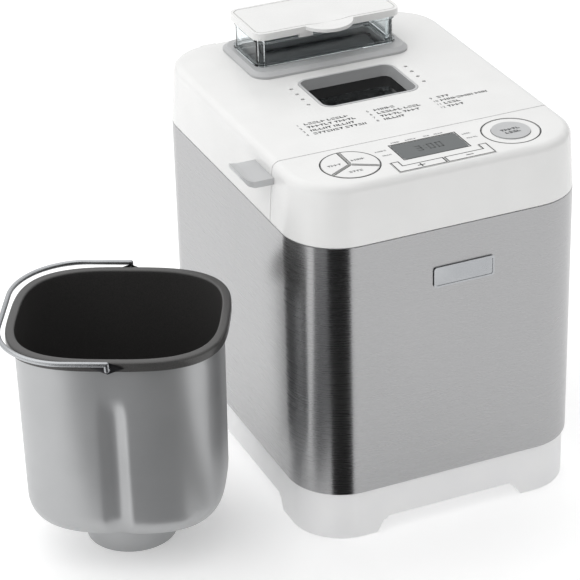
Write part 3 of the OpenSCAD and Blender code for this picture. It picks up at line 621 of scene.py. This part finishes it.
def ring(x, y, inner, outer, z, around=96):
    """Quads of a flat ring: the same angle at two radii."""
    a = np.radians(np.linspace(0.0, 360.0, around + 1))
    circle = np.stack([np.cos(a), np.sin(a)], 1)
    low = np.concatenate([circle*inner + [x, y], 0*a[:, None] + z], 1)
    high = np.concatenate([circle*outer + [x, y], 0*a[:, None] + z], 1)
    return np.stack([low[:-1], high[:-1], high[1:], low[1:]], 1)


def printed(name, quads, colour, body):
    """One piece from a list of flat quads, each (4, 3) or (n, 4, 3)."""
    quads = np.concatenate([q.reshape(-1, 4, 3) for q in quads])
    points = middle + quads.reshape(-1, 3)*MM
    faces = np.arange(len(points)).reshape(-1, 4)
    show(name, mesh_of(name, points, faces), colour, body)
    print(f"{name}: {len(faces)} marks")


def numeral(value, x, y, z, size):
    """Triangles of a number in the plain built-in face, its lower left corner at x, y."""
    curve = bpy.data.curves.new("numeral", "FONT")
    curve.body, curve.size = str(value), size
    holder = bpy.data.objects.new("numeral", curve)
    mesh = bpy.data.meshes.new_from_object(holder)
    flat = np.zeros(len(mesh.vertices)*3)
    mesh.vertices.foreach_get("co", flat)
    corners = flat.reshape(-1, 3)*[1, 1, 0] + [x, y, z]
    faces = [tuple(polygon.vertices) for polygon in mesh.polygons]
    bpy.data.objects.remove(holder)
    bpy.data.curves.remove(curve)
    bpy.data.meshes.remove(mesh)
    return corners, faces


# %% [markdown]
# Words are left as a rhythm of plain strokes: upright, level and split, taken in a fixed
# order. Real letters would be a text object, but there is nothing here to spell.

# %% Plain word marks
# Each mark is two bars, as fractions of its width and height: left, right, low, high
STROKES = [((0, 0.34, 0, 1), (0.34, 1, 0.36, 0.64)), ((0, 1, 0, 0.3), (0, 0.34, 0.3, 1)),
           ((0.33, 0.67, 0, 0.7), (0, 1, 0.7, 1)), ((0, 0.34, 0, 1), (0.66, 1, 0, 1)),
           ((0, 1, 0.7, 1), (0, 1, 0, 0.3))]


def word(x, y, z, count, height, seed=0):
    """A row of count plain stroke marks, which reads as a word without spelling one."""
    quads, wide = [], 0.9*height
    for k in range(count):
        for a, b, c, d in STROKES[(seed + 2*k + k*k) % len(STROKES)]:
            left = x + k*wide*1.2
            quads.append(bar(left + a*wide, left + b*wide, y + c*height, y + d*height, z))
    return quads


# %% [markdown]
# The twelve programmes stand in three columns of four lines. The numbers are a real text
# object turned into a mesh, because a digit's curves are tedious to work out, and each is
# followed by one or two word marks.

# %% The programme list
LIST_X, LIST_Y = (-75.0, -16.0, 38.5), -36.2
LINE, DIGIT_HIGH, MARK_HIGH = 6.2, 4.4, 3.3
INDENT, MARK_PITCH, WORD_GAP = 6.5, 3.56, 1.6
# Strokes in each word of each programme
words = [(5, 5), (6, 5), (5, 5), (7, 5), (5,), (6, 4), (5, 4), (5,), (3,), (8, 3), (4,), (4,)]
bars, points, faces = [], [], []
for number, lengths in enumerate(words, start=1):
    column, line = divmod(number - 1, 4)
    x, y = LIST_X[column], LIST_Y - LINE*line
    corners, polygons = numeral(number, x, y, ink_z, DIGIT_HIGH)
    faces += [tuple(i + len(points) for i in polygon) for polygon in polygons]
    points += (np.array(middle) + corners*MM).tolist()
    start = x + INDENT
    for length in lengths:
        bars += word(start, y, ink_z, length, MARK_HIGH, seed=number)
        start += length*MARK_PITCH + WORD_GAP
printed("programme_bars", bars, dark_ink, "lid")
mesh = bpy.data.meshes.new("programme_numbers")
mesh.from_pydata(points, [], faces)
show("programme_numbers", mesh, dark_ink, "lid")
print("programme_numbers: 1 to", len(words))

# %% [markdown]
# The round pad, the start ring and the rocker each have a dark line along their edge. The
# pad's three spokes stand a third of a turn apart. Every line that belongs to a key rides on
# that key, so that it sinks with it. Grey strokes stand where the keys' words would be.

# %% Outlines and spokes
PAD_X, START_X, KEY_Y = -67.0, 67.0, -115.0
key_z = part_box("menu_button")[1].z/MM + LIFT
rocker_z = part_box("plus_button")[1].z/MM + LIFT
PAD_R = (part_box("start_ring")[1].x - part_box("start_ring")[0].x)/2/MM - 2.5


def path_line(corners, width, z):
    """Bars of one width along the sides of a many-cornered path, overlapping at corners."""
    quads = []
    for (ax, ay), (bx, by) in zip(corners[:-1], corners[1:]):
        along = np.array([bx - ax, by - ay])/np.hypot(bx - ax, by - ay)*width/2
        across = np.array([-along[1], along[0]])
        a, b = np.array([ax, ay]) - along, np.array([bx, by]) + along
        quads.append(np.array([[*(a - across), z], [*(b - across), z], [*(b + across), z],
                               [*(a + across), z]]))
    return quads


for label, x in (("pad", PAD_X), ("start", START_X)):
    printed(f"{label}_outline", [ring(x, KEY_Y, PAD_R + 0.5, PAD_R + 1.4, ink_z)], dark_ink,
            "machine")
# Each key of the pad spans a third of a turn, from turn - 30 to turn + 90 degrees; mark is
# the place of its word, from the pad's middle
SPOKE_OFF, HUB_R = 1.25, 1.4
for key, turn, mark in (("colour", 0, (9.5, 5.5)), ("menu", 120, (-10.5, 3.5)),
                        ("size", 240, (0.0, -12.0))):
    edges = []
    for angle, side_of in ((turn - 30, 1), (turn + 90, -1)):
        a = math.radians(angle)
        off = side_of*SPOKE_OFF
        ends = [(PAD_X + k*math.cos(a) - off*math.sin(a), KEY_Y + k*math.sin(a) + off*math.cos(a))
                for k in (HUB_R, PAD_R - 0.6)]
        edges += path_line(ends, 0.55, key_z)
    mx, my = PAD_X + mark[0], KEY_Y + mark[1]
    printed(f"{key}_edges", edges, dark_ink, f"{key}_key")
    printed(f"{key}_mark", word(mx - 6.2, my - 1.2, key_z, 4, 2.6, seed=turn // 60), ink,
            f"{key}_key")

# %% [markdown]
# The rocker's two halves are mirror images, so one outline serves both. A mirrored object
# would have its faces turned over. Here the corners are mirrored first and the bars are made
# afterwards, so every face looks up.

# %% Rocker and start marks
ROCKER = [(1.0, -134.6), (33.6, -134.6), (33.6, -126.6), (39.4, -126.6), (39.4, -142.9),
          (1.0, -142.9), (1.0, -134.6)]
for key, flip in (("plus", -1), ("minus", 1)):
    outline = [(flip*x, y) for x, y in ROCKER]
    printed(f"{key}_edges", path_line(outline, 0.8, rocker_z), dark_ink, f"{key}_key")
printed("minus_mark", [bar(17, 23, -139.3, -138.3, rocker_z)], dark_ink, "minus_key")
printed("plus_mark", [bar(-23, -17, -139.3, -138.3, rocker_z),
                      bar(-20.5, -19.5, -141.6, -139.3, rocker_z),
                      bar(-20.5, -19.5, -138.3, -136.0, rocker_z)], dark_ink, "plus_key")
start_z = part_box("start_button")[1].z/MM - 0.25
printed("start_mark", word(START_X - 7.4, KEY_Y + 0.9, start_z, 5, 3.0, seed=2)
        + word(START_X - 5.9, KEY_Y - 4.2, start_z, 4, 3.0, seed=1), ink, "start_key")

# %% [markdown]
# The display shows the three places of a clock. Each place is up to seven bars, switched on
# by letter, and here they stand for a three-hour programme. They could glow, but this kind of
# display only darkens, so they are printed marks in a darker tone, a hair over the window. A
# dark line frames the window, and short marks stand beside it.

# %% Display segments, frame and labels
FRAME_X, FRAME_Y = 27.6, 13.8
LABEL_HIGH = 1.7
lens_low, lens_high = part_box("display_lens")
lens_z = lens_high.z/MM + 0.04
lens_y = ((lens_low.y + lens_high.y)/2 - middle[1])/MM
SEGMENTS = {"0": "abcdef", "3": "abcdg"}


def digit(symbol, x, y, z, w=4.6, h=8.6, s=0.9):
    """Seven-bar digit: each lit bar is one quad."""
    places = {"a": (0, w, h - s, h), "d": (0, w, 0, s), "g": (0, w, h/2 - s/2, h/2 + s/2),
              "b": (w - s, w, h/2, h), "c": (w - s, w, 0, h/2), "e": (0, s, 0, h/2),
              "f": (0, s, h/2, h)}
    return [bar(x + a, x + b, y + c, y + d, z) for k, (a, b, c, d) in places.items()
            if k in SEGMENTS[symbol]]


marks = digit("3", -11, lens_y - 4, lens_z) + digit("0", -1, lens_y - 4, lens_z)
marks += digit("0", 6, lens_y - 4, lens_z)
marks += [bar(-4.1, -3.1, lens_y + y, lens_y + y + 1, lens_z) for y in (-2, 2)]
printed("display_digits", marks, lcd_ink, "machine")
border = [(a*FRAME_X, lens_y + b*FRAME_Y)
          for a, b in ((-1, -1), (1, -1), (1, 1), (-1, 1), (-1, -1))]
printed("display_frame", path_line(border, 0.9, ink_z), dark_ink, "machine")
# Each label: x, y, how many strokes, and where in their order it starts
labels = []
for x, y, count, seed in [(-41.5, -105, 5, 0), (-39, -113, 4, 3), (31, -105, 4, 1),
                          (31, -113, 5, 2), (-24, -95.6, 4, 0), (-12, -95.6, 5, 1),
                          (3, -95.6, 3, 2), (12, -95.6, 4, 3)]:
    labels += word(x, y, ink_z, count, LABEL_HIGH, seed)
printed("display_labels", labels, ink, "machine")

# %% [markdown]
# The seam between controls and lid reads as a fine dark line. That line is painted shade: a dark
# strip just under the surface stands in for the shadow in the gap. Without it the eye sees through
# the gap to the bright inside. The strip follows the shell's section, a little way in: up one wall,
# round the edge, across the top, and down the other side. All its sizes are in millimetres.

# %% Seam strip of painted shade
SINK = 0.9  # how far the strip lies under the shell's skin
SEAM_Y, SEAM_HALF = -85.0, 0.36
LEAN = 2.5
wall_x = half_w - 0.1
turn_r = 7.0 - SINK
a = np.radians(np.linspace(0, 90, 10))
side_x = np.concatenate([[wall_x - SINK], wall_x - LEAN - SINK - turn_r + turn_r*np.cos(a)])
side_z = np.concatenate([[steel_top + 1.5], white_top - SINK - turn_r + turn_r*np.sin(a)])
strip_x = np.concatenate([side_x, -side_x[::-1]])
strip_z = np.concatenate([side_z, side_z[::-1]])
strip_y = np.array([[SEAM_Y - SEAM_HALF], [SEAM_Y + SEAM_HALF]])
seam_shade = np.stack([middle[0] + np.stack([strip_x, strip_x])*MM,
                 middle[1] + strip_y*MM + 0*strip_x[None],
                 np.stack([strip_z, strip_z])*MM], 2)
# Dark moulding in the gap: painted shade for the shadow inside the seam
grid_piece("seam_painted_shade", seam_shade, finishes["dark_plastic"], "machine", wrap_columns=False, flip=True)

# %% [markdown]
# ## Screws at the back
# The air outlet's cover is held by four screws. A screw head is a turned dome, and its recess
# is a small dimple in the middle of the profile; a cross cut into it would be lost at this
# size.

# %% Cover screws
grille_low, grille_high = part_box("rear_grille")
cover_y = grille_high.y
IN_X, IN_Z = 3.5*MM, 2.2*MM
places = [(x, z) for x in (grille_low.x + IN_X, grille_high.x - IN_X)
          for z in (grille_low.z + IN_Z, grille_high.z - IN_Z)]
for number, (x, z) in enumerate(places):
    head = turned([(0, 0.5), (0.7, 0.6), (1.1, 1.0), (1.7, 0.8), (2.0, 0.2), (2.0, -0.3),
                   (0, -0.3)], (x, cover_y, z), (0, 1, 0), around=24)
    grid_piece(f"cover_screw_{number + 1}", head, bright_edge, "machine")

# %% [markdown]
# ## Studio
# The set stands on a shooting table of white acrylic, lit a little from below so that the
# contact shadows stay soft. A tent of light surrounds it, brightest overhead, bright to the
# left and behind, and weak in front, which keeps the front face a step darker than the top.
# The steel needs something dark to mirror, or it looks like grey paint: a black flag lies and
# stands where the front left corner reflects it, and a grey card does the same for the pan.

# %% Floor and flags
def studio_material(name, colour, roughness, glow=0.0):
    """Plain matte sheet with a barely visible tooth; glow lights it from below."""
    material, tree, shader = finish(name, Base_Color=linear(colour), Roughness=roughness,
                                    Emission_Color=linear("FFFFFF"), Emission_Strength=glow)
    relief(tree, shader, noise(tree, 3.0), 0.02)
    return material


def flat_stage(name, corners, material):
    """A four-cornered studio surface, corners in metres."""
    mesh = mesh_of(name, np.array(corners, float), np.array([[0, 1, 2, 3]]))
    mesh.materials.append(material)
    stage = bpy.data.objects.new(name, mesh)
    bpy.context.scene.collection.objects.link(stage)
    return stage


REACH = 9.0  # half the table's side, in metres
acrylic = studio_material("lit_table_acrylic", "F8F8F8", 0.85, glow=0.28)
table = [(-REACH, -REACH, 0), (REACH, -REACH, 0), (REACH, REACH, 0), (-REACH, REACH, 0)]
flat_stage("studio_floor", table, acrylic)
flock = studio_material("black_flock", "070708", 0.9)
grey_card = studio_material("grey_card", "56575A", 0.9)
# Corners on the table, in millimetres from the machine's middle
near_left, near_right = (-100, -147), (-84, -154)
far_left, far_right = (-725, -794), (-76, -1053)
CARD = [(-292, -152), (-900, -480), (-150, -1000), (-196, -168)]
TALL = 1500
low_corners = [at(x, y, 0.6) for x, y in (near_left, far_left, far_right, near_right)]
tall_corners = [at(*far_left, 1), at(*far_left, TALL), at(*far_right, TALL), at(*far_right, 1)]
flags = [flat_stage("black_flag_low", low_corners, flock),
         flat_stage("black_flag_tall", tall_corners, flock),
         flat_stage("grey_card_low", [at(x, y, 0.4) for x, y in CARD], grey_card)]
for flag in flags:
    flag.visible_camera = flag.visible_diffuse = flag.visible_shadow = False
    flag.visible_transmission = False
print("floor and", len(flags), "flags")

# %% [markdown]
# Two large soft boxes, overhead and from the left, only shape the light: most of it comes from
# the tent, which is the world's background. A tent of even white would leave no direction, and
# a picture wrapped round the set would bring reflections of a place that is not there. So the
# brightness is a plain slope: it rises in one direction and falls in the other.

# %% Soft boxes and tent
def soft_light(name, place, target, size, power):
    """A square soft box aimed from place to target."""
    data = bpy.data.lights.new(name, "AREA")
    data.shape, data.size, data.energy = "SQUARE", size, power
    lamp = bpy.data.objects.new(name, data)
    bpy.context.scene.collection.objects.link(lamp)
    lamp.location = place
    lamp.rotation_euler = (Vector(target) - Vector(place)).to_track_quat("-Z", "Y").to_euler()


soft_light("overhead", (-0.3, 0.5, 2.2), (0, 0, 0.1), 2.4, 4)
soft_light("left", (-2.2, 0.2, 1.3), (0, 0, 0.15), 1.8, 3)

# The tent's light in direction d is LEVEL + d . RISE
LEVEL, RISE = 0.33, (-0.18, 0.36, 0.9)
world = bpy.data.worlds.new("studio")
bpy.context.scene.world = world
world.use_nodes = True
tent = world.node_tree
toward = add(tent, "ShaderNodeTexCoord").outputs["Generated"]
slope = add(tent, "ShaderNodeVectorMath", {"operation": "DOT_PRODUCT"},
            {0: toward, 1: RISE}).outputs["Value"]
glow = add(tent, "ShaderNodeMath", {"operation": "ADD"}, {0: slope, 1: LEVEL}).outputs["Value"]
tent.links.new(glow, tent.nodes["Background"].inputs["Strength"])
tent.nodes["Background"].inputs["Color"].default_value = (1, 1, 1, 1)
print("tent and lights ready")
